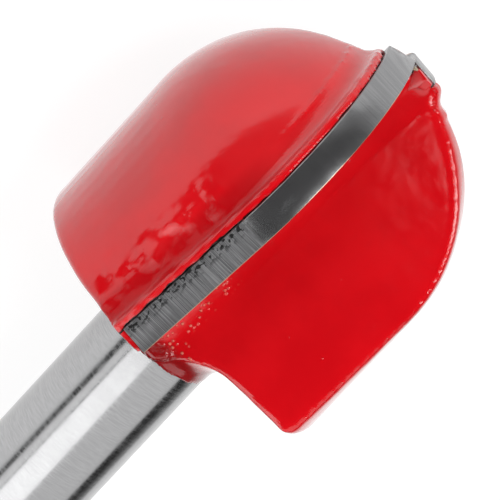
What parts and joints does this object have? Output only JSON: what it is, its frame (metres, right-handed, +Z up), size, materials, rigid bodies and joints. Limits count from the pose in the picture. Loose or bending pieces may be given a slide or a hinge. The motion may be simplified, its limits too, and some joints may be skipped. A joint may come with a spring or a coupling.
{
  "type": "router bit",
  "caption": "Round-nose router bit for U-shaped grooves, with a ball-ended two-wing head, brazed carbide tips and a plain straight shank.",
  "frame": {"origin": "on the floor under the middle of the tool as it lies at rest, centred along and across its bounding box", "axes": "+X runs along the tool from the shank end to the ball nose, +Z is up from the floor, +Y is to the left seen from the shank end looking to the nose; the tool's axis rises by 7 degrees towards the nose, because the shank rim and the head rest on the floor"},
  "size_m": [0.054, 0.0176, 0.0165],
  "materials": {
    "painted_steel": "gloss",
    "carbide": "ground"
  },
  "bodies": {
    "root": {"body": "painted_steel", "carbide_tip_1": "carbide", "carbide_tip_2": "carbide"}
  },
  "joints": []
}
